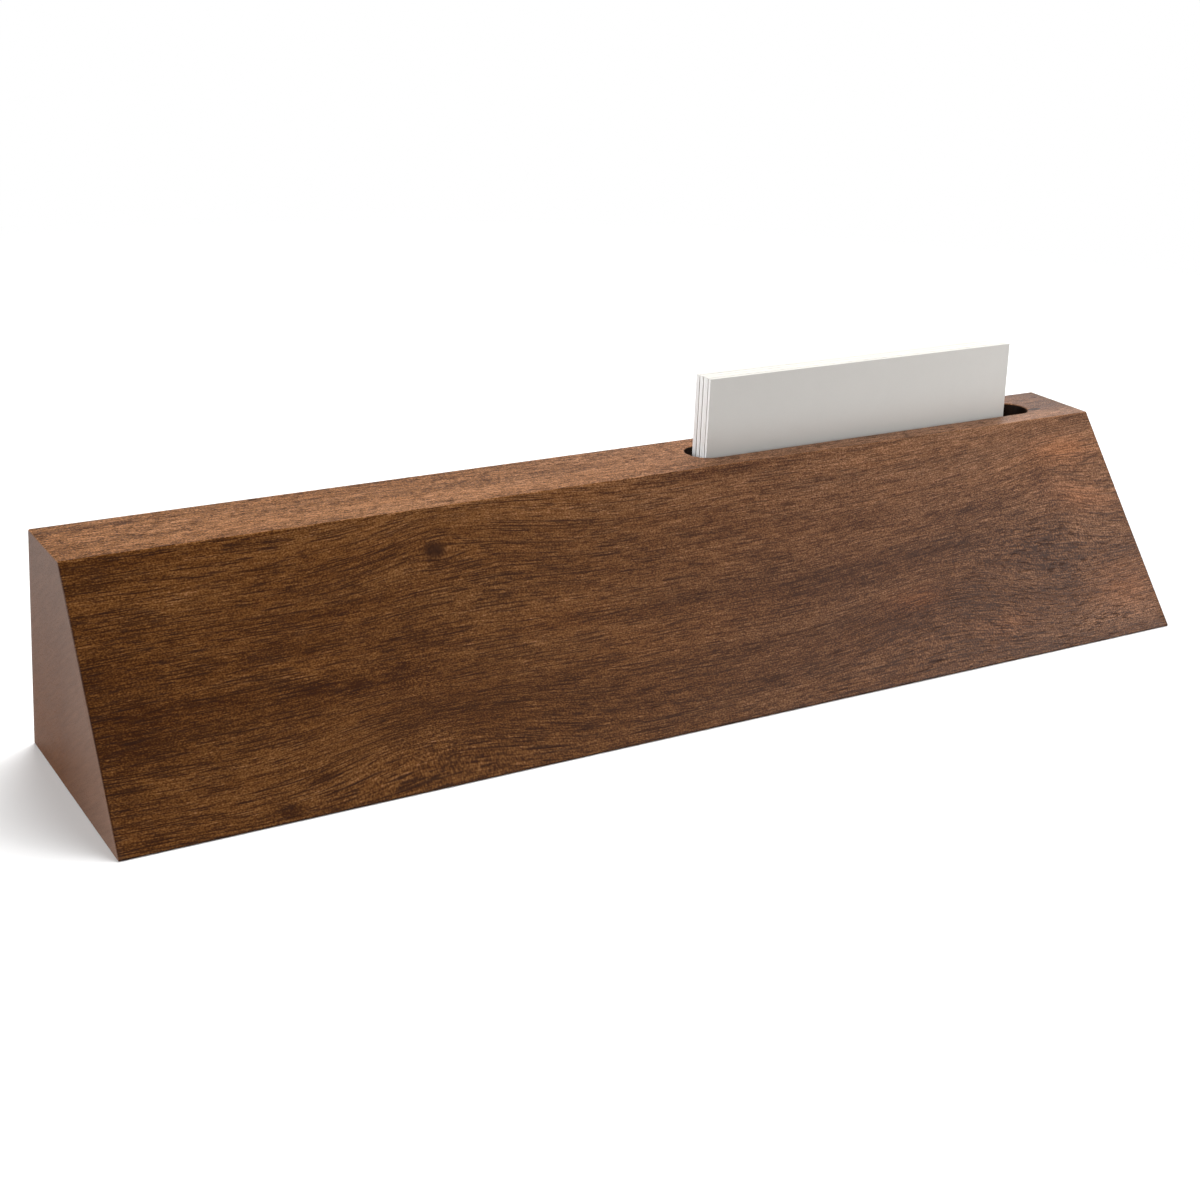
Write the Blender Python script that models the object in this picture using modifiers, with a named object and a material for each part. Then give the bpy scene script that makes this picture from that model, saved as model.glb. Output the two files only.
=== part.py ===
"""Desk nameplate with card holder: a walnut block with a sloping front and a routed slot for cards.

Metres, +Z up. X runs along the block, -Y is the front that the visitor reads, and the origin is
on the desk under the middle of the block. Every card is a loose piece that lifts out of the slot.
"""
import math

import bmesh
import bpy

# Cards
CARD_WIDTH = 0.0889  # standard business card, 3.5 in
CARD_HEIGHT = 0.0508  # 2 in
CARD_THICKNESS = 0.0004
CARDS_IN_GROUPS = (2, 4, 3, 3)  # front to back, the stack splits into four lots
CARD_GAP = 0.00005  # between cards of one lot
GROUP_GAP = 0.00015  # between two lots
CARD_FLOOR_GAP = 0.00005  # under each card

# Slot
SLOT_CLEAR_LEFT = 0.0032  # stack to the slot's left end
SLOT_CLEAR_RIGHT = 0.0089  # stack to the slot's right end
SLOT_CLEAR_SIDE = 0.001925  # stack to the slot's front and back walls
SLOT_FLOOR_WOOD = 0.012  # wood left under the slot
SLOT_END_WOOD = 0.01225  # wood left between the slot and the block's right end
SLOT_END_STEPS = 16  # facets round each half-round end

# Block
BLOCK_LENGTH = 0.260
BLOCK_HEIGHT = 0.045
SLOT_WALL_WOOD = 0.00525  # wood before and behind the slot, on the top face
SLOPE_RUN = 0.034  # how far the front leans out from top to base
EDGE_EASE = 0.0004  # sanded edges
EDGE_EASE_STEPS = 2

# Sizes that follow from the ones above
cardCount = sum(CARDS_IN_GROUPS)
groupCount = len(CARDS_IN_GROUPS)
stackThickness = (
    cardCount * CARD_THICKNESS
    + (cardCount - groupCount) * CARD_GAP
    + (groupCount - 1) * GROUP_GAP
)
slotLength = SLOT_CLEAR_LEFT + CARD_WIDTH + SLOT_CLEAR_RIGHT
slotWidth = stackThickness + 2 * SLOT_CLEAR_SIDE
slotDepth = BLOCK_HEIGHT - SLOT_FLOOR_WOOD
topDepth = slotWidth + 2 * SLOT_WALL_WOOD
baseDepth = topDepth + SLOPE_RUN
slotRight = BLOCK_LENGTH / 2 - SLOT_END_WOOD
slotLeft = slotRight - slotLength
slotY = baseDepth / 2 - topDepth / 2


def clearScene():
    """Removes every object that the scene starts with."""
    for item in list(bpy.data.objects):
        bpy.data.objects.remove(item, do_unlink=True)


def newCollection(name):
    """A collection in the scene, for objects of one kind."""
    collection = bpy.data.collections.new(name)
    bpy.context.scene.collection.children.link(collection)
    return collection


def newMaterial(name, color, roughness):
    """A plain material in the colour that the photographed piece shows."""
    material = bpy.data.materials.new(name)
    material.use_nodes = True
    shader = material.node_tree.nodes["Principled BSDF"]
    shader.inputs["Base Color"].default_value = (*color, 1.0)
    shader.inputs["Roughness"].default_value = roughness
    shader.inputs["Metallic"].default_value = 0.0
    material.diffuse_color = (*color, 1.0)
    return material


def makePrism(name, outline, thickness, location, rotation, collection):
    """A flat outline, filled and extruded both ways to the thickness, as one closed mesh.

    Each end is left as a single flat face, so that an eased edge runs evenly round it.
    """
    curve = bpy.data.curves.new(name + "_outline", "CURVE")
    curve.dimensions = "2D"
    curve.fill_mode = "BOTH"
    curve.extrude = thickness / 2
    spline = curve.splines.new("POLY")
    spline.points.add(len(outline) - 1)
    for point, (x, y) in zip(spline.points, outline):
        point.co = (x, y, 0.0, 1.0)
    spline.use_cyclic_u = True
    drawn = bpy.data.objects.new(name + "_outline", curve)
    drawn.location = location
    drawn.rotation_euler = rotation
    collection.objects.link(drawn)
    bpy.context.view_layer.update()
    evaluated = drawn.evaluated_get(bpy.context.evaluated_depsgraph_get())
    mesh = bpy.data.meshes.new_from_object(evaluated)
    mesh.name = name
    shape = bmesh.new()
    shape.from_mesh(mesh)
    bmesh.ops.remove_doubles(shape, verts=shape.verts, dist=0.000001)
    bmesh.ops.dissolve_limit(
        shape, angle_limit=math.radians(1), verts=shape.verts, edges=shape.edges
    )
    bmesh.ops.recalc_face_normals(shape, faces=shape.faces)
    shape.to_mesh(mesh)
    shape.free()
    prism = bpy.data.objects.new(name, mesh)
    prism.matrix_world = drawn.matrix_world
    collection.objects.link(prism)
    bpy.data.objects.remove(drawn, do_unlink=True)
    return prism


def slotOutline(grown):
    """The slot from above, grown all round: two straight sides joined by half circles."""
    radius = slotWidth / 2 + grown
    endX = (slotLength - slotWidth) / 2
    points = []
    for side, start in ((1, -math.pi / 2), (-1, math.pi / 2)):
        for step in range(SLOT_END_STEPS + 1):
            angle = start + math.pi * step / SLOT_END_STEPS
            points.append((side * endX + radius * math.cos(angle), radius * math.sin(angle)))
    return points


def addEase(item, width, steps):
    """Takes the sharp edge off wherever two faces meet at more than 30 degrees."""
    ease = item.modifiers.new("eased_edges", "BEVEL")
    ease.limit_method = "ANGLE"
    ease.angle_limit = math.radians(30)
    ease.width = width
    ease.segments = steps
    return ease


def addCut(item, cutter):
    """Cuts the cutter's shape out of the item."""
    cutter.hide_render = True
    cutter.display_type = "WIRE"
    cut = item.modifiers.new(cutter.name, "BOOLEAN")
    cut.operation = "DIFFERENCE"
    cut.solver = "EXACT"
    cut.object = cutter
    return cut


def makeSlotCutters(cutters):
    """The slot itself, and a flared cutter that breaks its rim at 45 degrees.

    The flare crosses the slot's wall one ease below the top face and the top face one ease
    outside the slot.
    """
    middleX = (slotLeft + slotRight) / 2
    unturned = (0.0, 0.0, 0.0)
    place = (middleX, slotY, BLOCK_HEIGHT)
    slot = makePrism("card_slot", slotOutline(0.0), 2 * slotDepth, place, unturned, cutters)
    rimHeight = 12 * EDGE_EASE
    place = (middleX, slotY, BLOCK_HEIGHT - 2 * EDGE_EASE + rimHeight / 2)
    rim = makePrism("slot_rim", slotOutline(3 * EDGE_EASE), rimHeight, place, unturned, cutters)
    addEase(rim, 4 * EDGE_EASE, 1)
    return slot, rim


def makeBlock(collection, cutters):
    """The block: a four-sided section along X with the slot cut down into its top face."""
    back = baseDepth / 2
    front = -baseDepth / 2
    section = [(front, 0.0), (back, 0.0), (back, BLOCK_HEIGHT), (back - topDepth, BLOCK_HEIGHT)]
    block = makePrism(
        "nameplate_block",
        section,
        BLOCK_LENGTH,
        (0.0, 0.0, 0.0),
        (math.pi / 2, 0.0, math.pi / 2),
        collection,
    )
    addEase(block, EDGE_EASE, EDGE_EASE_STEPS)
    for cutter in makeSlotCutters(cutters):
        addCut(block, cutter)
    return block


def makeCard(name, frontY, collection):
    """One card standing in the slot, with its origin under the middle of its lower edge."""
    mesh = bpy.data.meshes.new(name)
    shape = bmesh.new()
    bmesh.ops.create_cube(shape, size=1.0)
    bmesh.ops.scale(shape, verts=shape.verts, vec=(CARD_WIDTH, CARD_THICKNESS, CARD_HEIGHT))
    bmesh.ops.translate(shape, verts=shape.verts, vec=(0.0, 0.0, CARD_HEIGHT / 2))
    shape.to_mesh(mesh)
    shape.free()
    card = bpy.data.objects.new(name, mesh)
    card.location = (
        slotLeft + SLOT_CLEAR_LEFT + CARD_WIDTH / 2,
        frontY + CARD_THICKNESS / 2,
        SLOT_FLOOR_WOOD + CARD_FLOOR_GAP,
    )
    collection.objects.link(card)
    return card


def makeCards(collection):
    """The stack, counted from the front and centred between the slot's walls."""
    cards = []
    frontY = slotY - stackThickness / 2
    for group in CARDS_IN_GROUPS:
        for _ in range(group):
            name = f"business_card_{len(cards) + 1:02d}"
            cards.append(makeCard(name, frontY, collection))
            frontY += CARD_THICKNESS + CARD_GAP
        frontY += GROUP_GAP - CARD_GAP
    return cards


clearScene()
partCollection = newCollection("desk_nameplate_with_card_holder")
cutterCollection = newCollection("cutters")
walnut = newMaterial("oiled_walnut", (0.155, 0.075, 0.038), 0.42)
cardStock = newMaterial("uncoated_card", (0.83, 0.83, 0.81), 0.62)

nameplateBlock = makeBlock(partCollection, cutterCollection)
nameplateBlock.data.materials.append(walnut)
for businessCard in makeCards(partCollection):
    businessCard.data.materials.append(cardStock)

print(
    f"block {BLOCK_LENGTH * 1000:.1f} x {baseDepth * 1000:.1f} x {BLOCK_HEIGHT * 1000:.1f} mm, "
    f"slot {slotLength * 1000:.1f} x {slotWidth * 1000:.2f} x {slotDepth * 1000:.1f} mm, "
    f"{cardCount} cards"
)
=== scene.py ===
import math

import bmesh
import bpy
import numpy as np
from mathutils import Matrix, Vector


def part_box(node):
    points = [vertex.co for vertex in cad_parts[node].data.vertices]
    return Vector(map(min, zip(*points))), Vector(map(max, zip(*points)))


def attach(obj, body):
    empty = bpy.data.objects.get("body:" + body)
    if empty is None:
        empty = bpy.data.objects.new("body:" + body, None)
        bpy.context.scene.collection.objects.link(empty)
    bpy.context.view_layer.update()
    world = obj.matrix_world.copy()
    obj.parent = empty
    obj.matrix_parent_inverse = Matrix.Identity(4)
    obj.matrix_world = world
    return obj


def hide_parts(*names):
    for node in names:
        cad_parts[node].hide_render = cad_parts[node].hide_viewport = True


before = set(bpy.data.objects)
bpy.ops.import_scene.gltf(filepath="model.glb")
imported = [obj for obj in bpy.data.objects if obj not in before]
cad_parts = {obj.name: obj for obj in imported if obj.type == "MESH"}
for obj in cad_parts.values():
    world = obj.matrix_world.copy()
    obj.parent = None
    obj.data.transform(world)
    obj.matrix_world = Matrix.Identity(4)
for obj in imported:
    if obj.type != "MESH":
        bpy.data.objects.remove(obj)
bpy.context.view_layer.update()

mm = 0.001
mergeReach = 0.002 * mm  # points nearer than this become one
print("frame loaded")


# Camera, at the photograph's viewing angle
cameraView = {
    "place": (-226.8, -339.2, 177.0),  # mm
    "azimuth": -30.85,  # degrees round the block, 0 looks along +Y
    "elevation": 14.12,
    "roll": 2.25,
    "lens": 59.61,  # mm on a 36 mm sensor
    "shift": (0.021, -0.210),  # the photograph is a crop, its axis lies above its middle
}


def makeCamera(view):
    # looks back along the direction that azimuth and elevation give, then rolls about it
    azimuth, elevation, roll = (math.radians(view[k]) for k in ("azimuth", "elevation", "roll"))
    back = Vector(
        (
            math.sin(azimuth) * math.cos(elevation),
            -math.cos(azimuth) * math.cos(elevation),
            math.sin(elevation),
        )
    )
    level = (-back).cross(Vector((0, 0, 1))).normalized()
    upright = back.cross(level)
    right = level * math.cos(roll) + upright * math.sin(roll)
    up = upright * math.cos(roll) - level * math.sin(roll)
    data = bpy.data.cameras.new("camera")
    data.sensor_width = 36
    data.lens = view["lens"]
    data.shift_x, data.shift_y = view["shift"]
    data.clip_start, data.clip_end = 0.01, 20
    camera = bpy.data.objects.new("camera", data)
    turn = Matrix((right, up, back)).transposed().to_4x4()
    camera.matrix_world = Matrix.Translation(Vector(view["place"]) * mm) @ turn
    bpy.context.scene.collection.objects.link(camera)
    bpy.context.scene.camera = camera
    return camera


makeCamera(cameraView)
print("camera placed")


# Colours, nodes and meshes


def linear(hexColour):
    # sRGB hex to linear: (c + 0.055) / 1.055 to the power 2.4 above the toe
    parts = [int(hexColour[i : i + 2], 16) / 255 for i in (1, 3, 5)]
    out = [c / 12.92 if c <= 0.04045 else ((c + 0.055) / 1.055) ** 2.4 for c in parts]
    return (*out, 1.0)


def newMaterial(name):
    material = bpy.data.materials.new(name)
    material.use_nodes = True
    material.node_tree.nodes.clear()
    return material, material.node_tree


def addNode(tree, kind, settings=None, inputs=None):
    # one node: settings are its properties, inputs are values or the sockets that feed them;
    # a Mix node takes colours at 6 and 7 and gives one at 2, or takes floats at 2 and 3
    node = tree.nodes.new(kind)
    for key, value in (settings or {}).items():
        setattr(node, key, value)
    for key, value in (inputs or {}).items():
        if isinstance(value, bpy.types.NodeSocket):
            tree.links.new(value, node.inputs[key])
        else:
            node.inputs[key].default_value = value
    return node


def gridMesh(name, points, closeRound, attributes=None):
    # points[v, u] is a grid of places; u closes on itself if closeRound, doubles are merged
    rows, columns = points.shape[:2]
    index = np.arange(rows * columns).reshape(rows, columns)
    nextColumn = np.roll(index, -1, axis=1) if closeRound else index[:, 1:]
    here = index if closeRound else index[:, :-1]
    quads = np.stack([here[:-1], nextColumn[:-1], nextColumn[1:], here[1:]], axis=-1).reshape(-1, 4)
    mesh = bpy.data.meshes.new(name)
    mesh.vertices.add(rows * columns)
    mesh.vertices.foreach_set("co", points.reshape(-1).astype(np.float32))
    mesh.loops.add(quads.size)
    mesh.loops.foreach_set("vertex_index", quads.reshape(-1).astype(np.int32))
    mesh.polygons.add(len(quads))
    mesh.polygons.foreach_set("loop_start", np.arange(0, quads.size, 4, dtype=np.int32))
    mesh.update(calc_edges=True)
    for key, values in (attributes or {}).items():
        layer = mesh.attributes.new(key, "FLOAT", "POINT")
        layer.data.foreach_set("value", values.reshape(-1).astype(np.float32))
    shape = bmesh.new()
    shape.from_mesh(mesh)
    bmesh.ops.remove_doubles(shape, verts=shape.verts, dist=mergeReach)
    bmesh.ops.recalc_face_normals(shape, faces=shape.faces)
    shape.to_mesh(mesh)
    shape.free()
    piece = bpy.data.objects.new(name, mesh)
    bpy.context.scene.collection.objects.link(piece)
    return piece


def shadeByAngle(piece, degrees):
    piece.data.shade_smooth()
    piece.data.set_sharp_from_angle(angle=math.radians(degrees))


def spaced(start, end, count):
    # count values from start, stopping one step short of end
    return start + (end - start) * np.arange(count) / count


def held(count, margin):
    # count steps from 0 to 1 with one more ring close to each end, which keeps flat faces flat
    return np.concatenate([[margin], np.linspace(0, 1, count + 1)[1:-1], [1 - margin, 1]])


def walk(runs):
    # joins runs end to end; each run holds three values, each from and to, and its count
    return [np.concatenate([spaced(r[i], r[i + 1], r[6]) for r in runs]) for i in (0, 2, 4)]


def heading(degrees):
    # unit vectors at these angles, as cosine and sine
    angle = np.radians(degrees)
    return np.stack([np.cos(angle), np.sin(angle)], axis=-1)


# Walnut block

blockShape = {
    "slopeRun": 34.0 * mm,  # how far the front leans out from top to base
    "topDepth": 20.0 * mm,
    "edgeRadius": 0.30 * mm,  # sanded edges
    "cornerRadius": 0.45 * mm,  # upright edges
    "slotLength": 101.0 * mm,
    "slotWidth": 9.5 * mm,
    "slotFloor": 12.0 * mm,  # above the desk
    "slotEndWood": 12.25 * mm,  # from the slot to the right end
    "rimRadius": 0.30 * mm,
    "floorRadius": 0.30 * mm,
    "baseInset": 20.0 * mm,  # the base's rings shrink to a line that ends this far in
    "edgeTones": {"upper": 1.0, "upright": -2.0, "base": -1.0},  # painted highlight on the upper edges, painted shade on the upright corners and the base edge
    "step": 1.2 * mm,  # mesh spacing along the flat faces
    "endSteps": 20,
    "cornerSteps": 4,
    "roundSteps": 4,
    "baseRoundSteps": 6,
    "floorRings": 4,
    "floorRoundSteps": 3,
    "wallSteps": (14, 0.004),  # count, and how close the extra rings come to each end
    "topSteps": (36, 0.004),
    "sideSteps": (52, 0.003),
    "baseSteps": (8, 0.01),
}


def blockLoops(shape, low, high):
    # Walks once round the block and once round the slot, counter-clockwise from above.
    # outer(frontY): a rounded rectangle whose front side lies at frontY.
    # The slot: two straight sides joined by half circles, as a centre line and its normals.
    corner = shape["cornerRadius"]
    radius = shape["slotWidth"] / 2
    x1 = high.x - shape["slotEndWood"] - radius  # centres of the half circles
    x0 = high.x - shape["slotEndWood"] - shape["slotLength"] + radius
    slotY = high.y - shape["topDepth"] / 2
    left, right = low.x + corner, high.x - corner
    along = int(round((x1 - x0) / shape["step"]))
    atLeft = int(round((x0 - left) / shape["step"]))
    atRight = int(round((right - x1) / shape["step"]))
    turn, end = shape["cornerSteps"], shape["endSteps"]
    # each run: x from and to, share of the way from front to back, degrees of its normal, count
    runs = [
        (x0, x1, 0, 0, -90, -90, along),
        (x1, right, 0, 0, -90, -90, atRight),
        (right, right, 0, 0, -90, 0, turn),
        (right, right, 0, 1, 0, 0, end),
        (right, right, 1, 1, 0, 90, turn),
        (right, x1, 1, 1, 90, 90, atRight),
        (x1, x0, 1, 1, 90, 90, along),
        (x0, left, 1, 1, 90, 90, atLeft),
        (left, left, 1, 1, 90, 180, turn),
        (left, left, 1, 0, 180, 180, end),
        (left, left, 0, 0, 180, 270, turn),
        (left, x0, 0, 0, 270, 270, atLeft),
    ]
    x, share, angle = walk(runs)
    normal = heading(angle)

    def outer(frontY):
        y = (frontY + corner) + (high.y - frontY - 2 * corner) * share
        return np.stack([x, y], axis=-1) + normal * corner

    rightArc = atRight * 2 + turn * 2 + end
    leftArc = atLeft * 2 + turn * 2 + end
    # each run: x from and to, y from and to, degrees of its normal, count
    slotRuns = [
        (x0, x1, slotY, slotY, -90, -90, along),
        (x1, x1, slotY, slotY, -90, 90, rightArc),
        (x1, x0, slotY, slotY, 90, 90, along),
        (x0, x0, slotY, slotY, 90, 270, leftArc),
    ]
    slotX, slotLineY, slotAngle = walk(slotRuns)
    return outer, normal, np.stack([slotX, slotLineY], axis=-1), heading(slotAngle)


def makeBlockPoints(shape, low, high):
    # Rings from the slot's floor up its wall, over the top, down the sides and under the base.
    # Each edge is an arc of radius r: r sin(t) outwards and r cos(t) upwards from its centre,
    # t running from 0 on the upper face to the angle phi between the two faces' normals.
    height = high.z
    outer, normal, slotLine, slotNormal = blockLoops(shape, low, high)
    floorZ, floorRound, rim = shape["slotFloor"], shape["floorRadius"], shape["rimRadius"]
    radius = shape["slotWidth"] / 2
    edgeLighting = shape["edgeTones"]
    # the edges carry painted light: a painted highlight on the rim and upper edges, painted shade on
    # the upright corners and the base edge
    rings, edgeLit, routed = [], [], []

    def ring(xy, z, edgeLightLevel=0.0, inSlot=0.0):
        x = np.clip(xy[:, 0], low.x, high.x)
        rings.append(np.column_stack([x, xy[:, 1], np.broadcast_to(z, (len(xy),))]))
        edgeLit.append(np.full(len(xy), edgeLightLevel))
        routed.append(np.full(len(xy), inSlot))

    for reach in np.linspace(0, radius - floorRound, shape["floorRings"]):
        ring(slotLine + slotNormal * reach, floorZ, inSlot=1.0)
    for t in np.linspace(0, math.pi / 2, shape["floorRoundSteps"] + 1)[1:]:
        reach = radius - floorRound * (1 - math.sin(t))
        ring(slotLine + slotNormal * reach, floorZ + floorRound * (1 - math.cos(t)), inSlot=1.0)
    for s in held(*shape["wallSteps"]):
        wallZ = floorZ + floorRound + (height - rim - floorZ - floorRound) * s
        ring(slotLine + slotNormal * radius, wallZ, inSlot=1.0)
    for t in np.linspace(0, math.pi / 2, shape["roundSteps"] + 1)[1:]:
        reach = radius + rim * (1 - math.cos(t))
        ring(slotLine + slotNormal * reach, height - rim * (1 - math.sin(t)), edgeLighting["upper"])
    rimRing = rings[-1][:, :2]

    frontShare = np.clip(-normal[:, 1], 0, 1)  # 1 on the leaning front, 0 on the ends and back
    phi = math.pi / 2 - math.atan2(shape["slopeRun"], height) * frontShare
    r = shape["edgeRadius"]
    frontTop = high.y - shape["topDepth"]
    topLine, baseLine = outer(frontTop), outer(frontTop - shape["slopeRun"])
    insetTop, insetBase = r * np.tan(phi / 2), r * np.tan((math.pi - phi) / 2)

    def arc(line, inset, z, theta):
        reach = (r * np.sin(theta) - inset)[:, None]
        return line + normal * reach, z + r * np.cos(theta)

    topEdge, _ = arc(topLine, insetTop, height - r, phi * 0)
    for s in held(*shape["topSteps"]):
        ring(rimRing + (topEdge - rimRing) * s, height)
    for t in np.linspace(0, 1, shape["roundSteps"] + 1)[1:]:
        ring(*arc(topLine, insetTop, height - r, phi * t), edgeLighting["upper"])
    # twice the product of the normal's parts is 0 on a face and 1 halfway round a corner
    # painted shade on the upright corners
    upright = edgeLighting["upright"] * 2 * np.abs(normal[:, 0] * normal[:, 1])
    upper, upperZ = arc(topLine, insetTop, height - r, phi)
    lower, lowerZ = arc(baseLine, insetBase, r, phi)
    for s in held(*shape["sideSteps"]):
        ring(upper + (lower - upper) * s, upperZ + (lowerZ - upperZ) * s, upright)
    for t in np.linspace(0, 1, shape["baseRoundSteps"] + 1)[1:]:
        ring(*arc(baseLine, insetBase, r, phi + (math.pi - phi) * t), edgeLighting["base"])
    baseEdge = rings[-1][:, :2]
    middleX = np.clip(baseEdge[:, 0], low.x + shape["baseInset"], high.x - shape["baseInset"])
    middle = np.column_stack([middleX, np.zeros(len(baseEdge))])
    for s in held(*shape["baseSteps"]):
        ring(baseEdge + (middle - baseEdge) * s, 0.0)
    return np.stack(rings), {"edgeLightShade": np.stack(edgeLit), "routed": np.stack(routed)}


# Figure of this board, in mm from the left end and mm down the front from its upper edge; the
# top face goes on above 0. Each mark: x, down, half length, half width, rise per mm, strength.
boardFigure = {
    # the wood's streaks, and painted light among the broad shades at the end of the list
    "toneAndLight": [
        # dark streaks, left half
        (15, 2.4, 17, 1.0, 0.0, -0.35),
        (8, 5.4, 9, 0.5, 0.02, -0.45),
        (73, 1.4, 13, 1.1, 0.0, -0.45),
        (42, 24.0, 19, 1.5, -0.08, -0.32),
        (30, 31.6, 30, 1.9, 0.05, -0.28),
        (43.4, 32.5, 3.6, 1.0, 0.0, -0.80),
        (52.4, 33.0, 2.2, 0.8, 0.0, -0.90),
        (41.3, 49.4, 2.6, 1.0, 0.0, -0.80),
        (33.3, 54.0, 3.4, 1.0, 0.0, -0.80),
        (38.4, 23.0, 3.4, 1.6, 0.0, -0.35),
        (3, 44.0, 4.0, 0.8, 0.1, -0.40),
        (50, 18.4, 13, 0.6, -0.10, -0.35),
        (67, 24.0, 7.0, 5.0, 0.0, -0.25),
        (62, 33.0, 5.0, 6.0, 0.0, -0.28),
        (74, 44.3, 5.0, 2.4, 0.0, -0.35),
        # pale streaks, left half
        (22, 11.5, 10, 2.0, 0.0, 0.25),
        (49, 43.0, 8.0, 3.0, -0.2, 0.30),
        (12, 49.0, 9.0, 4.0, 0.0, 0.30),
        (70, 45.0, 5.0, 2.0, 0.0, 0.20),
        (66, 12.0, 6.0, 2.0, -0.1, 0.20),
        # dark streaks, right half
        (150, 1.6, 21, 0.8, 0.0, -0.55),
        (155, 6.6, 8.0, 0.5, -0.02, -0.35),
        (175, 11.5, 6.0, 0.9, 0.0, -0.40),
        (193, 9.7, 3.4, 0.5, 0.0, -0.50),
        (180, 18.0, 9.0, 1.3, 0.0, -0.45),
        (210, 19.5, 13, 1.8, -0.05, -0.40),
        (165, 31.0, 17, 1.8, -0.03, -0.35),
        (200, 27.5, 15, 1.6, -0.05, -0.30),
        (207, 35.0, 10, 2.0, -0.1, -0.25),
        (231, 30.5, 7.5, 3.0, -0.2, -0.50),
        (233, 41.0, 5.0, 6.0, 0.0, -0.30),
        (238, 14.0, 4.0, 5.0, 0.0, -0.40),
        (254, 18.0, 6.0, 0.8, 0.15, -0.40),
        (257, 28.0, 5.0, 0.8, 0.2, -0.35),
        (145.5, 49.3, 3.0, 0.9, 0.0, -0.65),
        # pale streaks, right half
        (249, 8.7, 9.0, 3.6, 0.05, 0.60),
        (249, 20.8, 9.0, 3.6, 0.2, 0.55),
        (189, 38.0, 5.0, 2.0, 0.0, 0.35),
        (213, 48.0, 6.0, 2.2, 0.0, 0.30),
        (251, 45.0, 10, 6.0, 0.0, 0.45),
        (187, 5.0, 12, 2.4, 0.0, 0.25),
        (188, 14.5, 8.0, 1.4, 0.0, 0.25),
        # dark streaks on the top face
        (20, -16.0, 20, 1.2, 0.03, -0.40),
        (80, -9.0, 28, 1.6, 0.0, -0.20),
        # broad shades: partly the wood's tone, partly painted light, lighter towards the right end
        # and on the top face
        (0, 28.0, 16, 26, 0.0, -0.30),
        (262, -2.0, 75, 15, 0.0, 0.30),
        # painted highlight on the right end's upper front
        (262, 3.0, 22, 8.0, 0.0, 0.38),
        (262, 30.0, 45, 40, 0.0, 0.10),
        (75, 3.0, 25, 6.0, 0.0, 0.20),
        (120, 4.0, 60, 5.0, 0.0, 0.12),
        (230, 5.0, 60, 9.0, 0.0, 0.28),
        (235, 17.0, 30, 5.0, 0.0, -0.10),
        (10, 28.0, 22, 7.0, 0.0, -0.25),
        (48, 28.0, 26, 6.0, 0.0, -0.12),
        (250, 28.0, 14, 8.0, 0.0, 0.22),
        (8, 39.0, 14, 6.0, 0.0, -0.20),
        (50, 39.0, 30, 5.0, 0.0, -0.12),
        (195, 40.0, 25, 6.0, 0.0, -0.17),
        (42, 51.0, 24, 5.0, 0.0, 0.40),
        (195, 46.0, 70, 12, 0.0, -0.32),
        (35, 39.0, 40, 6.0, 0.0, -0.14),
        # painted light: the top face lighter, as it lies in the light from above
        (120, -10.0, 240, 9.0, 0.0, 0.36),
        (110, -18.0, 90, 3.0, 0.0, 0.25),
        (130, -3.5, 240, 3.0, 0.0, 0.25),
        (0, -10.0, 14, 12, 0.0, -0.18),
        (264, -10.0, 34, 11, 0.0, -0.70),
        (252, 5.0, 14, 9.0, 0.0, -0.20),
        (258, -12.0, 11, 14, 0.0, -0.35),
    ],
    "blush": [  # orange red
        (248, 8.7, 11, 4.0, 0.05, 0.55),
        (248, 20.8, 11, 4.0, 0.2, 0.60),
        (189, 38.0, 9.0, 2.6, 0.0, 0.50),
        (213, 48.0, 9.0, 2.5, 0.0, 0.35),
        (251, 45.0, 11, 7.0, 0.0, 0.45),
    ],
    "curl": [  # fibres that rise out of the face, cut short into specks
        (64, 34.0, 5.0, 4.0, 0.0, 0.9),
        (66, 46.0, 6.0, 6.0, 0.0, 0.9),
        (246, 51.0, 11, 3.2, 0.0, 1.0),
        (205, 28.0, 75, 40, 0.0, 0.55),
        (232, 34.0, 24, 24, 0.0, 0.35),
    ],
    "topCurl": (2.0, 0.6, 215, 12),  # on the top face: at its left, its right, step's x, over
    "paintedSheen": (125, 22),  # from this x the board is paler, greyer and less yellow, a painted sheen; softened over this
    "knot": (76.8, 9.2, 3.4, 3.8),  # x, down, how wide the grain parts round it, core
    "knotStretch": 1.5,  # the grain parts this much further along than across
    "climbs": [  # where the grain rises: x from, over, x to, over, down, half height, mm
        (64, 7, 98, 8, 12, 13, 5.0),
        (46, 7, 90, 8, 47, 9, 6.0),
        (196, 11, 246, 4, 24, 18, 4.5),
        (236, 8, 300, 8, 6, 14, 7.0),
        (176, 8, 212, 8, 42, 12, 5.0),
        (222, 6, 248, 6, 40, 10, -4.0),
    ],
    "eyes": [  # centre and half sizes in the part's mm, depth, share of the size at full depth
        ((-54.6, 1.5, 37.7), (3.8, 2.5), 0.85, 0.3),
        ((118.9, 14.0, 45.0), (2.4, 0.9), 1.0, 0.7),
    ],
}


def softMarks(marks, x, down):
    # sum of strength * exp(-(u / length)^2 - (w / width)^2), with w measured from the mark's
    # own line, which drops by its rise for each mm along
    total = np.zeros_like(x)
    for markX, markDown, length, width, rise, strength in marks:
        u = (x - markX) / length
        w = (down - markDown - rise * (x - markX)) / width
        total += strength * np.exp(-(u**2) - w**2)
    return total


def softStep(x, middle, over):
    # rises from 0 to 1 round the middle, as 1 / (1 + exp(-u))
    return 1 / (1 + np.exp((middle - x) / over))


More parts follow.
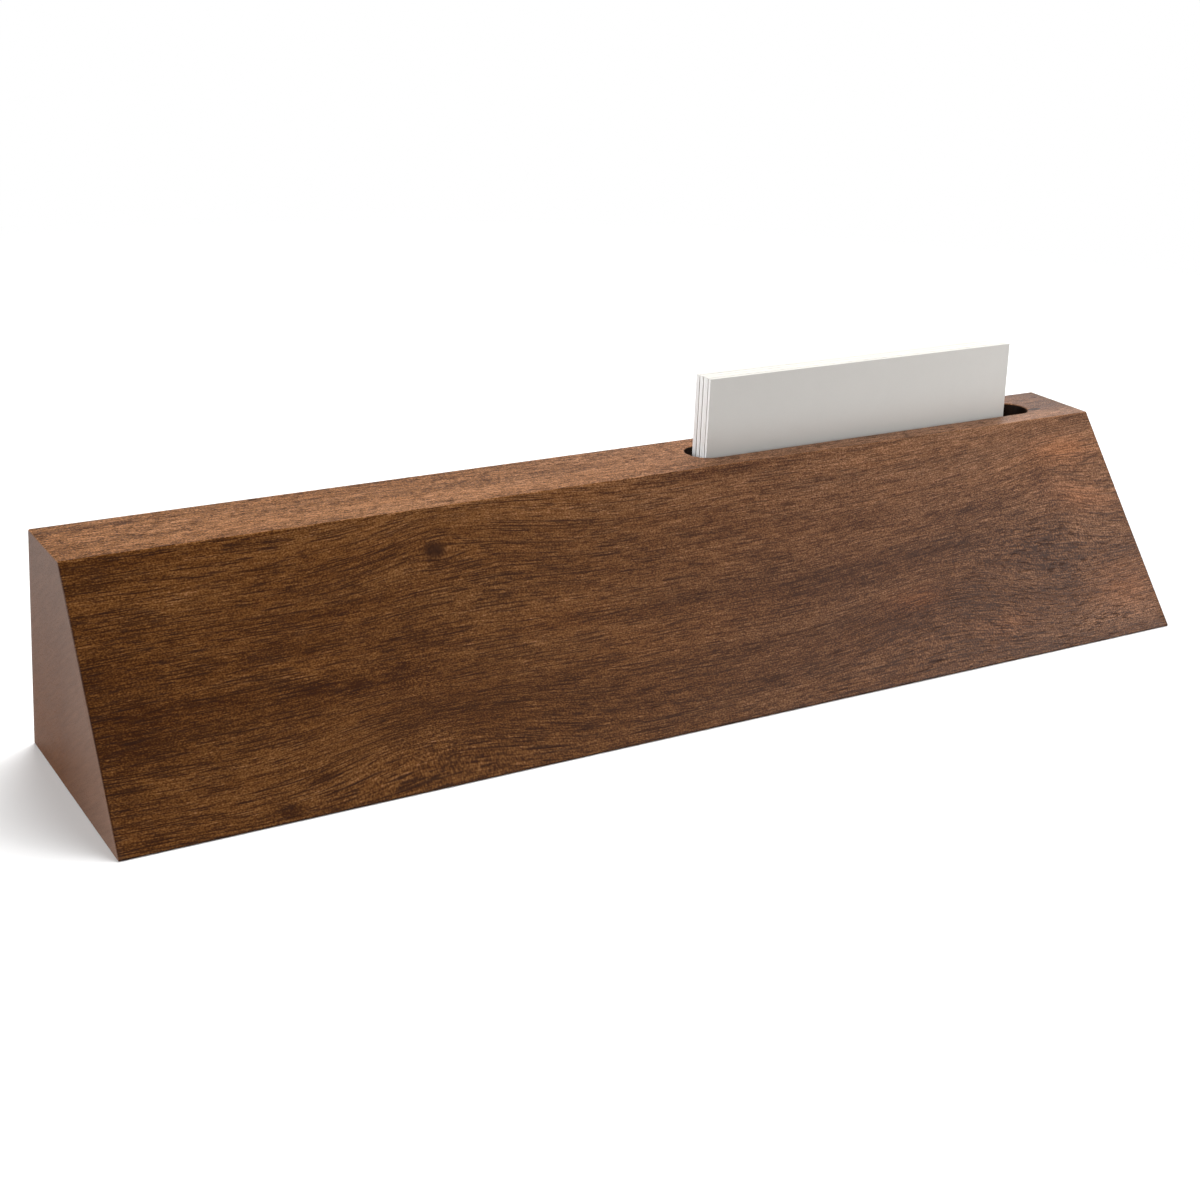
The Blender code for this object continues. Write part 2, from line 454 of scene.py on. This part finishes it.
def makeFigure(figure, shape, points, low, high):
    # Attributes at the points: tone, pale, blush, curl and the sway of the grain in mm
    frontTop = high.y - shape["topDepth"]
    slope = math.hypot(shape["slopeRun"], high.z) / shape["slopeRun"]  # mm down for a mm forward
    x = (points[..., 0] - low.x) / mm
    depth = (frontTop - points[..., 1]) / mm
    down = np.where(depth > 0, depth * slope, depth)
    # the grain parts round the knot as water does round a stone: a place moves away from the
    # knot's level by its height over it, times a^2 / (r^2 + b^2)
    knotX, knotDown, parting, core = figure["knot"]
    away = ((x - knotX) / figure["knotStretch"]) ** 2 + (down - knotDown) ** 2
    sway = (knotDown - down) * parting**2 / (away + core**2)
    # and it climbs by a soft step, and back down by another
    for start, startOver, end, endOver, middle, reach, rise in figure["climbs"]:
        climbed = softStep(x, start, startOver) - softStep(x, end, endOver)
        sway += rise * climbed * np.exp(-(((down - middle) / reach) ** 2))
    curl = np.clip(softMarks(figure["curl"], x, down), 0, 2)
    atLeft, atRight, stepX, over = figure["topCurl"]
    topCurl = atLeft + (atRight - atLeft) * softStep(x, stepX, over)
    return {
        "toneAndLight": softMarks(figure["toneAndLight"], x, down),
        "paintedSheen": softStep(x, *figure["paintedSheen"]),
        "blush": np.clip(softMarks(figure["blush"], x, down), 0, 1),
        "curl": np.where(depth > 0, curl, topCurl),
        "sway": sway,
    }


low, high = (Vector(corner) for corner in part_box("nameplate_block"))
blockPoints, blockLightAndSlot = makeBlockPoints(blockShape, low, high)
blockFigure = makeFigure(boardFigure, blockShape, blockPoints, low, high)
blockFigure.update(blockLightAndSlot)
block = gridMesh("walnutBlock", blockPoints, True, blockFigure)
shadeByAngle(block, 30)
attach(block, "block")
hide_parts("nameplate_block")
print("block made:", len(block.data.polygons), "faces")


# Oiled walnut, sanded fine and wiped with oil: brown heartwood with soft dark bands, and open
# pores that show on the faces as fine dark dashes along the grain and on the ends as dots.
walnutLook = {
    "driftLayer": ((70, 26), 1.0, 0.5),  # as the layers below
    "drift": 3.0,  # mm that the grain wanders
    "downFront": (0.0, -0.603, -0.798),  # the way down the sloping front, one mm long
    "layers": {  # size in mm along and across the grain, octaves, their falloff
        "board": ((140, 12), 1.5, 0.5),
        "band": ((75, 4.2), 2.0, 0.5),
        "streak": ((24, 1.0), 2.0, 0.6),
        "fibre": ((5.0, 0.21), 1.0, 0.6),
        "dash": ((2.4, 0.32), 1.5, 0.65),
        "hair": ((30, 0.95), 1.0, 0.5),
        "gap": ((9, 2.0), 1.0, 0.5),
        "longPore": ((4.5, 0.22), 0.5, 0.5),
        "shortPore": ((2.2, 0.30), 0.5, 0.5),
        "fleck": ((5.0, 1.2), 1.5, 0.6),
        "speck": ((0.38, 0.27), 0.0, 0.5),
        "hue": ((34, 7), 1.5, 0.5),
    },
    "weights": {  # where the grain lies in the face, where it rises out of it
        "board": (0.40, 0.40),
        "band": (0.28, 0.34),
        "streak": (0.08, 0.28),
        "fibre": (0.80, 1.00),
        "dash": (0.04, 0.62),
        "fleck": (0.00, 0.14),
        "speck": (0.75, 1.10),
    },
    # the edge weight adds the edges' painted highlight and painted shade to the brown
    "markWeights": {"toneAndLight": 0.36, "edgeLightShade": 0.10},
    "ramp": [  # dark to light: the brown of the left half, the paler, greyer brown of the right half, which paints in a sheen
        (0.16, "#3a1b05", "#3c1f0c"),
        (0.34, "#4e2d0e", "#512f18"),
        (0.5, "#673f1b", "#694227"),
        (0.66, "#7e532a", "#7f5637"),
        (0.84, "#956741", "#956a4d"),
        (1.0, "#af7e5b", "#af8060"),
    ],
    "hue": "#fff9ed",  # the yellower wood is multiplied by this
    "hueRange": (0.7, 0.3),  # the hue noise from where to where it sets in
    "blush": "#ffdcb0",  # and the redder wood by this
    "pore": "#2c1305",
    "poreRange": {"longPore": (0.575, 0.630), "shortPore": (0.560, 0.615)},
    "poreCrowding": -0.12,  # pores crowd together in the darker streaks
    "poreDepth": 0.75,
    "poreRoughness": 0.25,  # added to the wood's own
    "hairStep": (0.0, -0.12, -0.16),  # mm across the grain, to find a line's distance
    "hairWidth": 0.26,  # mm
    "hairDepth": 0.85,
    "hairGap": (0.43, 0.55),  # the gap noise from where to where a line comes back
    "hairRising": 0.3,  # share that is left where the grain rises out of the face
    "slotShade": "#190c06",
    "slotShadeCover": 0.95,
    "endWood": "#63402a",
    "endShades": [  # axis, mm from and to, the colour there
        (2, 8.0, 42.0, "#6b554a"),  # towards the top: greyer, a painted sheen
        (1, 8.0, -26.0, "#806455"),  # towards the front's foot
    ],
    "endRings": ((9.0, 0.75), 33),  # mm along and across, degrees up from level
    "endRingShades": (0.71, 0.99),
    "endSpeck": 0.3,
    "endRange": (0.6, 0.95),  # the normal's part along the block from where to where
    "endCover": 0.92,
    "roughness": 0.45,
    "specular": 0.17,
    "bumpStrength": 0.6,
    "bumpHeight": 0.00006,
}


def grainNoise(tree, name, layer, place):
    # noise stretched along the grain to the layer's size
    (length, width), octaves, falloff = layer
    shrunk = addNode(
        tree,
        "ShaderNodeVectorMath",
        {"operation": "MULTIPLY", "label": name},
        {0: place, 1: (1 / length, 1 / width, 1 / width)},
    ).outputs[0]
    return addNode(
        tree,
        "ShaderNodeTexNoise",
        {"label": name},
        {"Vector": shrunk, "Scale": 1.0, "Detail": octaves, "Roughness": falloff},
    )


def followGrain(tree, look, inMm, sway):
    # the grain wanders over the whole board, and sways round the knot
    drift = grainNoise(tree, "drift", look["driftLayer"], inMm).outputs["Color"]
    centred = addNode(
        tree, "ShaderNodeVectorMath", {"operation": "SUBTRACT"}, {0: drift, 1: (0.5, 0.5, 0.5)}
    ).outputs[0]
    wander = addNode(
        tree,
        "ShaderNodeVectorMath",
        {"operation": "MULTIPLY_ADD"},
        {0: centred, 1: (0.0, look["drift"], look["drift"]), 2: inMm},
    ).outputs[0]
    swing = addNode(
        tree,
        "ShaderNodeVectorMath",
        {"operation": "SCALE"},
        {"Vector": look["downFront"], "Scale": sway},
    ).outputs[0]
    return addNode(
        tree, "ShaderNodeVectorMath", {"operation": "ADD"}, {0: wander, 1: swing}
    ).outputs[0]


def makeBrown(tree, look, marks, waves):
    # a sum of marks and layers, from 0 dark to 1 light, that two ramps turn into browns
    total = 0.5
    for name, weight in look["markWeights"].items():
        total = addNode(
            tree,
            "ShaderNodeMath",
            {"operation": "MULTIPLY_ADD"},
            {0: marks[name], 1: weight, 2: total},
        ).outputs[0]
    for name, (lying, rising) in look["weights"].items():
        centred = addNode(
            tree, "ShaderNodeMath", {"operation": "SUBTRACT"}, {0: waves[name], 1: 0.5}
        ).outputs[0]
        weight = addNode(
            tree,
            "ShaderNodeMapRange",
            {"clamp": False},
            {"Value": marks["curl"], "To Min": lying, "To Max": rising},
        ).outputs["Result"]
        total = addNode(
            tree,
            "ShaderNodeMath",
            {"operation": "MULTIPLY_ADD"},
            {0: centred, 1: weight, 2: total},
        ).outputs[0]
    browns = []
    for column in (1, 2):
        ramp = addNode(tree, "ShaderNodeValToRGB", inputs={"Fac": total})
        stops = ramp.color_ramp.elements
        while len(stops) < len(look["ramp"]):
            stops.new(0.5)
        for stop, row in zip(stops, look["ramp"]):
            stop.position, stop.color = row[0], linear(row[column])
        browns.append(ramp.outputs["Color"])
    # the right half paler and greyer: a painted sheen
    wood = addNode(
        tree,
        "ShaderNodeMix",
        {"data_type": "RGBA"},
        {"Factor": marks["paintedSheen"], 6: browns[0], 7: browns[1]},
    ).outputs[2]
    # a little more yellow here, a little redder there
    hueFrom, hueTo = look["hueRange"]
    yellower = addNode(
        tree,
        "ShaderNodeMapRange",
        inputs={"Value": waves["hue"], "From Min": hueFrom, "From Max": hueTo},
    ).outputs["Result"]
    for factor, stain in ((yellower, look["hue"]), (marks["blush"], look["blush"])):
        wood = addNode(
            tree,
            "ShaderNodeMix",
            {"data_type": "RGBA", "blend_type": "MULTIPLY"},
            {"Factor": factor, 6: wood, 7: linear(stain)},
        ).outputs[2]
    return wood


def makePores(tree, look, curl, waves):
    # long dashes where the grain lies in the face, short ones where it rises out of it
    pores = {}
    for name, (start, end) in look["poreRange"].items():
        crowded = addNode(
            tree,
            "ShaderNodeMath",
            {"operation": "MULTIPLY_ADD"},
            {0: waves["streak"], 1: look["poreCrowding"], 2: waves[name]},
        ).outputs[0]
        pores[name] = addNode(
            tree,
            "ShaderNodeMapRange",
            {"interpolation_type": "SMOOTHSTEP"},
            {"Value": crowded, "From Min": start, "From Max": end, "To Max": look["poreDepth"]},
        ).outputs["Result"]
    return addNode(
        tree,
        "ShaderNodeMix",
        {"data_type": "FLOAT"},
        {"Factor": curl, 2: pores["longPore"], 3: pores["shortPore"]},
    ).outputs[0]


def makeHairlines(tree, look, curl, grain, waves):
    # dark lines where the stretched noise passes its middle value, broken up by gaps; how far
    # such a line is, in steps, is the noise's height over its climb in one step across the grain
    stepped = addNode(
        tree, "ShaderNodeVectorMath", {"operation": "ADD"}, {0: grain, 1: look["hairStep"]}
    ).outputs[0]
    beside = grainNoise(tree, "beside", look["layers"]["hair"], stepped).outputs["Fac"]
    climb = addNode(
        tree, "ShaderNodeMath", {"operation": "SUBTRACT"}, {0: beside, 1: waves["hair"]}
    ).outputs[0]
    offMiddle = addNode(
        tree, "ShaderNodeMath", {"operation": "SUBTRACT"}, {0: waves["hair"], 1: 0.5}
    ).outputs[0]
    inSteps = addNode(
        tree, "ShaderNodeMath", {"operation": "DIVIDE"}, {0: offMiddle, 1: climb}
    ).outputs[0]
    inSteps = addNode(tree, "ShaderNodeMath", {"operation": "ABSOLUTE"}, {0: inSteps}).outputs[0]
    onLine = addNode(
        tree,
        "ShaderNodeMapRange",
        {"interpolation_type": "SMOOTHSTEP"},
        {
            "Value": inSteps,
            "From Max": look["hairWidth"] / math.hypot(*look["hairStep"]),
            "To Min": look["hairDepth"],
            "To Max": 0.0,
        },
    ).outputs["Result"]
    gapFrom, gapTo = look["hairGap"]
    whole = addNode(
        tree,
        "ShaderNodeMapRange",
        {"interpolation_type": "SMOOTHSTEP"},
        {"Value": waves["gap"], "From Min": gapFrom, "From Max": gapTo},
    ).outputs["Result"]
    lying = addNode(
        tree,
        "ShaderNodeMapRange",
        inputs={"Value": curl, "To Min": 1.0, "To Max": look["hairRising"]},
    ).outputs["Result"]
    for share in (whole, lying):
        onLine = addNode(
            tree, "ShaderNodeMath", {"operation": "MULTIPLY"}, {0: onLine, 1: share}
        ).outputs[0]
    return onLine


def makeEndWood(tree, look, inMm, speck):
    # cut across the grain: darker and more even, with faint lines of the rings; greyer towards the
    # top, a painted sheen
    (length, width), degrees = look["endRings"]
    turned = addNode(
        tree,
        "ShaderNodeMapping",
        {"vector_type": "TEXTURE"},
        {
            "Vector": inMm,
            "Rotation": (math.radians(-degrees), 0.0, 0.0),
            "Scale": (1.0, length, width),
        },
    ).outputs[0]
    rings = addNode(
        tree,
        "ShaderNodeTexNoise",
        inputs={"Vector": turned, "Scale": 1.0, "Detail": 2.0, "Roughness": 0.6},
    ).outputs["Fac"]
    darkest, lightest = look["endRingShades"]
    shade = addNode(
        tree,
        "ShaderNodeMapRange",
        inputs={
            "Value": rings,
            "From Min": 0.3,
            "From Max": 0.7,
            "To Min": darkest,
            "To Max": lightest,
        },
    ).outputs["Result"]
    shade = addNode(
        tree,
        "ShaderNodeMath",
        {"operation": "MULTIPLY_ADD"},
        {0: speck, 1: look["endSpeck"], 2: shade},
    ).outputs[0]
    axes = addNode(tree, "ShaderNodeSeparateXYZ", inputs={0: inMm})
    endWood = linear(look["endWood"])
    for axis, start, end, colour in look["endShades"]:
        share = addNode(
            tree,
            "ShaderNodeMapRange",
            inputs={"Value": axes.outputs[axis], "From Min": start, "From Max": end},
        ).outputs["Result"]
        endWood = addNode(
            tree,
            "ShaderNodeMix",
            {"data_type": "RGBA"},
            {"Factor": share, 6: endWood, 7: linear(colour)},
        ).outputs[2]
    return addNode(
        tree, "ShaderNodeVectorMath", {"operation": "SCALE"}, {"Vector": endWood, "Scale": shade}
    ).outputs[0]


def findEnds(tree, look, routed):
    # where the surface faces along the block, outside the slot
    normal = addNode(tree, "ShaderNodeTexCoord").outputs["Normal"]
    across = addNode(tree, "ShaderNodeSeparateXYZ", inputs={0: normal}).outputs[0]
    across = addNode(tree, "ShaderNodeMath", {"operation": "ABSOLUTE"}, {0: across}).outputs[0]
    endFrom, endTo = look["endRange"]
    onEnd = addNode(
        tree,
        "ShaderNodeMapRange",
        inputs={
            "Value": across,
            "From Min": endFrom,
            "From Max": endTo,
            "To Max": look["endCover"],
        },
    ).outputs["Result"]
    outside = addNode(
        tree, "ShaderNodeMath", {"operation": "SUBTRACT"}, {0: 1.0, 1: routed}
    ).outputs[0]
    return addNode(
        tree, "ShaderNodeMath", {"operation": "MULTIPLY"}, {0: onEnd, 1: outside}
    ).outputs[0]


def makeEye(tree, inMm, centre, halfSize, depth, core):
    # an oval that sets in from its rim to its core
    length, height = halfSize
    offset = addNode(
        tree, "ShaderNodeVectorMath", {"operation": "SUBTRACT"}, {0: inMm, 1: centre}
    ).outputs[0]
    offset = addNode(
        tree,
        "ShaderNodeVectorMath",
        {"operation": "MULTIPLY"},
        {0: offset, 1: (1 / length, 1 / height, 1 / height)},
    ).outputs[0]
    away = addNode(
        tree, "ShaderNodeVectorMath", {"operation": "LENGTH"}, {0: offset}
    ).outputs["Value"]
    return addNode(
        tree,
        "ShaderNodeMapRange",
        {"interpolation_type": "SMOOTHSTEP"},
        {"Value": away, "From Min": 1.0, "From Max": core, "To Max": depth},
    ).outputs["Result"]


def makeWalnut(look, figure):
    material, tree = newMaterial("oiledWalnut")
    place = addNode(tree, "ShaderNodeTexCoord").outputs["Object"]
    inMm = addNode(
        tree,
        "ShaderNodeVectorMath",
        {"operation": "SCALE"},
        {"Vector": place, "Scale": 1 / mm},
    ).outputs[0]
    marks = {
        name: addNode(tree, "ShaderNodeAttribute", {"attribute_name": name}).outputs["Fac"]
        for name in ("toneAndLight", "paintedSheen", "blush", "curl", "sway", "edgeLightShade", "routed")
    }
    grain = followGrain(tree, look, inMm, marks["sway"])
    waves = {
        name: grainNoise(tree, name, layer, grain).outputs["Fac"]
        for name, layer in look["layers"].items()
    }
    pore = makePores(tree, look, marks["curl"], waves)
    hairline = makeHairlines(tree, look, marks["curl"], grain, waves)
    # painted shade inside the slot
    slotShadeShare = addNode(
        tree, "ShaderNodeMath", {"operation": "MULTIPLY"}, {0: marks["routed"], 1: look["slotShadeCover"]}
    ).outputs[0]
    dark = linear(look["pore"])
    coats = [  # each colour covers the wood by its share, in this order
        (pore, dark),
        (hairline, dark),
        (findEnds(tree, look, marks["routed"]), makeEndWood(tree, look, inMm, waves["speck"])),
        (slotShadeShare, linear(look["slotShade"])),  # painted shade: the deep slot darkened to near black
    ]
    coats += [(makeEye(tree, inMm, *eye), dark) for eye in figure["eyes"]]
    wood = makeBrown(tree, look, marks, waves)
    for share, colour in coats:
        wood = addNode(
            tree, "ShaderNodeMix", {"data_type": "RGBA"}, {"Factor": share, 6: wood, 7: colour}
        ).outputs[2]

    roughness = addNode(
        tree,
        "ShaderNodeMath",
        {"operation": "MULTIPLY_ADD"},
        {0: pore, 1: look["poreRoughness"], 2: look["roughness"]},
    ).outputs[0]
    height = addNode(
        tree, "ShaderNodeMath", {"operation": "SUBTRACT"}, {0: waves["fibre"], 1: pore}
    ).outputs[0]
    bump = addNode(
        tree,
        "ShaderNodeBump",
        inputs={
            "Height": height,
            "Strength": look["bumpStrength"],
            "Distance": look["bumpHeight"],
        },
    ).outputs["Normal"]
    shader = addNode(
        tree,
        "ShaderNodeBsdfPrincipled",
        inputs={
            "Base Color": wood,
            "Roughness": roughness,
            "Specular IOR Level": look["specular"],
            "Normal": bump,
        },
    )
    addNode(tree, "ShaderNodeOutputMaterial", inputs={"Surface": shader.outputs[0]})
    return material


block.data.materials.append(makeWalnut(walnutLook, boardFigure))
print("walnut ready")


# Business cards, square cut, loose in the slot

cardShape = {
    "trim": 0.015 * mm,  # cut edges are dulled by this radius
    "corner": 0.12 * mm,
    "count": 12,
    "wander": 0.06 * mm,  # the lots don't quite line up
    "lotEnds": (2, 6, 9),  # the last card of these lots stands back a little
    "setBack": 0.08 * mm,
    "middleInset": 25.0 * mm,  # the faces' rings shrink to a line that ends this far in
    "faceRings": (0, 0.35, 0.7, 0.97, 0.997),  # share of the way out from that line
    "trimRings": 3,
    "columns": 24,
    "rows": 14,
    "cornerSteps": 3,
    "seed": 7,
}


def makeCardPoints(shape, low, high, inset):
    # Rings from the middle of the front, over the cut edge, to the middle of the back.
    # The outline is a rectangle with quarter-round corners, shrunk to a short line inside; it
    # keeps inset[0] from the box at its left and right, and half of inset[1] at its top.
    corner, trim = shape["corner"], shape["trim"]
    x0, x1 = low.x + corner + inset[0], high.x - corner - inset[0]
    z0, z1 = low.z + corner, high.z - corner - inset[1] / 2
    wide, tall, turn = shape["columns"], shape["rows"], shape["cornerSteps"]
    # each run: x from and to, z from and to, degrees of its normal, count
    runs = [
        (x0, x1, z0, z0, -90, -90, wide),
        (x1, x1, z0, z0, -90, 0, turn),
        (x1, x1, z0, z1, 0, 0, tall),
        (x1, x1, z1, z1, 0, 90, turn),
        (x1, x0, z1, z1, 90, 90, wide),
        (x0, x0, z1, z1, 90, 180, turn),
        (x0, x0, z1, z0, 180, 180, tall),
        (x0, x0, z0, z0, 180, 270, turn),
    ]
    x, z, angle = walk(runs)
    line, normal = np.stack([x, z], axis=-1), heading(angle)
    middleX = np.clip(x, low.x + shape["middleInset"], high.x - shape["middleInset"])
    middle = np.stack([middleX, np.full_like(z, (low.z + high.z) / 2)], axis=-1)
    rings = []

    def ring(dulled, share, y):
        edge = line + normal * (corner - dulled)
        place = middle + (edge - middle) * share
        rings.append(np.column_stack([place[:, 0], np.full_like(x, y), place[:, 1]]))

    quarter = np.linspace(0, math.pi / 2, shape["trimRings"])
    for share in shape["faceRings"]:
        ring(trim, share, low.y)
    for t in quarter:
        ring(trim * (1 - math.sin(t)), 1, low.y + trim * (1 - math.cos(t)))
    for t in quarter[::-1]:
        ring(trim * (1 - math.sin(t)), 1, high.y - trim * (1 - math.cos(t)))
    for share in shape["faceRings"][::-1]:
        ring(trim, share, high.y)
    return np.stack(rings)


# Uncoated card: bright, matt, faintly mottled by its fibres. Its side cut edges are painted whiter
# than the faces, a painted highlight, and its top cut edge darker, a painted shade.
cardLook = {
    "face": "#e7e4df",
    "mottle": "#e5e2dd",
    # painted highlight on the side cut edges, painted shade on the top cut edge
    "edge": "#ffffff",
    "topEdge": "#dfdcd5",
    "fibre": 0.35,  # mm
    "cloud": 4.9,  # mm
    "roughness": 0.68,
    "specular": 0.3,
}


def makeCardStock(look):
    material, tree = newMaterial("uncoatedCard")
    place = addNode(tree, "ShaderNodeTexCoord").outputs["Object"]
    fine = addNode(
        tree,
        "ShaderNodeTexNoise",
        inputs={
            "Vector": place,
            "Scale": 1 / (look["fibre"] * mm),
            "Detail": 3.0,
            "Roughness": 0.6,
        },
    ).outputs["Fac"]
    cloud = addNode(
        tree,
        "ShaderNodeTexNoise",
        inputs={"Vector": place, "Scale": 1 / (look["cloud"] * mm), "Detail": 2.0},
    ).outputs["Fac"]
    mottle = addNode(
        tree, "ShaderNodeMath", {"operation": "MULTIPLY"}, {0: fine, 1: cloud}
    ).outputs[0]
    mottle = addNode(
        tree,
        "ShaderNodeMapRange",
        inputs={"Value": mottle, "From Min": 0.12, "From Max": 0.42},
    ).outputs["Result"]
    paper = addNode(
        tree,
        "ShaderNodeMix",
        {"data_type": "RGBA"},
        {"Factor": mottle, 6: linear(look["face"]), 7: linear(look["mottle"])},
    ).outputs[2]
    normal = addNode(tree, "ShaderNodeTexCoord").outputs["Normal"]
    ways = addNode(tree, "ShaderNodeSeparateXYZ", inputs={0: normal})
    facing = addNode(
        tree, "ShaderNodeMath", {"operation": "ABSOLUTE"}, {0: ways.outputs[1]}
    ).outputs[0]
    # the cut edges: painted highlight on the sides, painted shade on the top
    edge = addNode(
        tree,
        "ShaderNodeMix",
        {"data_type": "RGBA"},
        {"Factor": ways.outputs[2], 6: linear(look["edge"]), 7: linear(look["topEdge"])},
    ).outputs[2]
    paper = addNode(
        tree,
        "ShaderNodeMix",
        {"data_type": "RGBA"},
        {"Factor": facing, 6: edge, 7: paper},
    ).outputs[2]
    bump = addNode(
        tree,
        "ShaderNodeBump",
        inputs={"Height": fine, "Strength": 0.15, "Distance": 0.00002},
    ).outputs["Normal"]
    shader = addNode(
        tree,
        "ShaderNodeBsdfPrincipled",
        inputs={
            "Base Color": paper,
            "Roughness": look["roughness"],
            "Specular IOR Level": look["specular"],
            "Normal": bump,
        },
    )
    addNode(tree, "ShaderNodeOutputMaterial", inputs={"Surface": shader.outputs[0]})
    return material


cardStock = makeCardStock(cardLook)
random = np.random.default_rng(cardShape["seed"])
wander = random.uniform(0, 1, 2) * cardShape["wander"]
for number in range(1, cardShape["count"] + 1):
    node = f"business_card_{number:02d}"
    cardLow, cardHigh = (Vector(corner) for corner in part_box(node))
    lotEnd = number in cardShape["lotEnds"]
    inset = wander + cardShape["setBack"] if lotEnd else wander
    points = makeCardPoints(cardShape, cardLow, cardHigh, inset)
    if lotEnd:
        wander = random.uniform(0, 1, 2) * cardShape["wander"]
    card = gridMesh(f"card{number:02d}", points, True)
    shadeByAngle(card, 40)
    card.data.materials.append(cardStock)
    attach(card, f"card_{number:02d}")
    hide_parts(node)
print("cards made")


# Floor, world and lamps

studio = {  # metres and watts
    "floorSize": 8.0,
    "floorColour": "#f2f2f2",
    "floorBounce": "#b0b0b0",  # what it gives back to the object, as past the edge of a sweep
    "plainFrom": 0.26,  # from the object, where the floor's own shade ends
    "plainTo": 0.55,
    "worldLight": 0.12,
    "skyRange": (0.22, 0.52),  # sine of the height where the white sky starts and stops to darken
    "skyTop": 0.05,
    "aim": (0.0, 0.0, 0.03),
    "lamps": {  # place, size, watts
        "keyLamp": ((0.30, 0.45, 1.00), 0.80, 15.5),
        "sideLamp": ((0.58, -0.42, 0.26), 0.40, 3.1),
        "backLamp": ((0.75, 0.45, 0.28), 0.50, 1.0),
        "leftLamp": ((-0.85, 0.05, 0.40), 0.50, 6.0),
    },
}


def seenRays(tree):
    # 1 for rays that show the background: straight, mirrored or through glass
    path = addNode(tree, "ShaderNodeLightPath")
    seen = path.outputs["Is Camera Ray"]
    for kind in ("Is Glossy Ray", "Is Transmission Ray"):
        seen = addNode(
            tree, "ShaderNodeMath", {"operation": "MAXIMUM"}, {0: seen, 1: path.outputs[kind]}
        ).outputs[0]
    return seen


def makeFloor(look):
    # a flat square of white paper, which holds the object's shadow and ends in plain white
    across = np.linspace(-look["floorSize"] / 2, look["floorSize"] / 2, 5)
    gridX, gridY = np.meshgrid(across, across)
    floor = gridMesh("floor", np.stack([gridX, gridY, 0 * gridX], axis=-1), False)
    material, tree = newMaterial("whitePaperSweep")
    straight = addNode(tree, "ShaderNodeLightPath").outputs["Is Camera Ray"]
    paper = addNode(
        tree,
        "ShaderNodeMix",
        {"data_type": "RGBA"},
        {"Factor": straight, 6: linear(look["floorBounce"]), 7: linear(look["floorColour"])},
    ).outputs[2]
    matt = addNode(tree, "ShaderNodeBsdfDiffuse", inputs={"Color": paper})
    white = addNode(tree, "ShaderNodeEmission", inputs={"Color": (1, 1, 1, 1), "Strength": 1.0})
    place = addNode(tree, "ShaderNodeTexCoord").outputs["Object"]
    away = addNode(tree, "ShaderNodeVectorMath", {"operation": "LENGTH"}, {0: place}).outputs["Value"]
    plain = addNode(
        tree,
        "ShaderNodeMapRange",
        {"interpolation_type": "SMOOTHSTEP"},
        {"Value": away, "From Min": look["plainFrom"], "From Max": look["plainTo"]},
    ).outputs["Result"]
    factor = addNode(
        tree, "ShaderNodeMath", {"operation": "MULTIPLY"}, {0: plain, 1: seenRays(tree)}
    ).outputs[0]
    surface = addNode(
        tree,
        "ShaderNodeMixShader",
        inputs={0: factor, 1: matt.outputs[0], 2: white.outputs[0]},
    )
    addNode(tree, "ShaderNodeOutputMaterial", inputs={"Surface": surface.outputs[0]})
    floor.data.materials.append(material)
    return floor


def makeWorld(look):
    # white round the horizon, where the camera sees it, and darker overhead in reflections
    world = bpy.data.worlds.new("studioWorld")
    bpy.context.scene.world = world
    world.use_nodes = True
    tree = world.node_tree
    tree.nodes.clear()
    direction = addNode(tree, "ShaderNodeTexCoord").outputs["Generated"]
    upwards = addNode(tree, "ShaderNodeSeparateXYZ", inputs={0: direction}).outputs[2]
    skyFrom, skyTo = look["skyRange"]
    shown = addNode(
        tree,
        "ShaderNodeMapRange",
        inputs={
            "Value": upwards,
            "From Min": skyFrom,
            "From Max": skyTo,
            "To Min": 1.0,
            "To Max": look["skyTop"],
        },
    ).outputs["Result"]
    level = addNode(
        tree,
        "ShaderNodeMix",
        {"data_type": "FLOAT"},
        {"Factor": seenRays(tree), 2: look["worldLight"], 3: shown},
    ).outputs[0]
    sky = addNode(
        tree, "ShaderNodeBackground", inputs={"Color": (1, 1, 1, 1), "Strength": level}
    )
    addNode(tree, "ShaderNodeOutputWorld", inputs={"Surface": sky.outputs[0]})


def makeLamp(name, place, size, energy, target):
    data = bpy.data.lights.new(name, "AREA")
    data.shape = "DISK"
    data.size = size
    data.energy = energy
    lamp = bpy.data.objects.new(name, data)
    lamp.location = place
    aim = Vector(target) - Vector(place)
    lamp.rotation_euler = aim.to_track_quat("-Z", "Y").to_euler()
    bpy.context.scene.collection.objects.link(lamp)
    return lamp


makeFloor(studio)
makeWorld(studio)
for name, (place, size, energy) in studio["lamps"].items():
    lamp = makeLamp(name, place, size, energy, studio["aim"])
    lamp.visible_glossy = name != "keyLamp"  # as with a polariser, no glare on the wood
bpy.context.scene.view_settings.view_transform = "Standard"
print("studio ready")
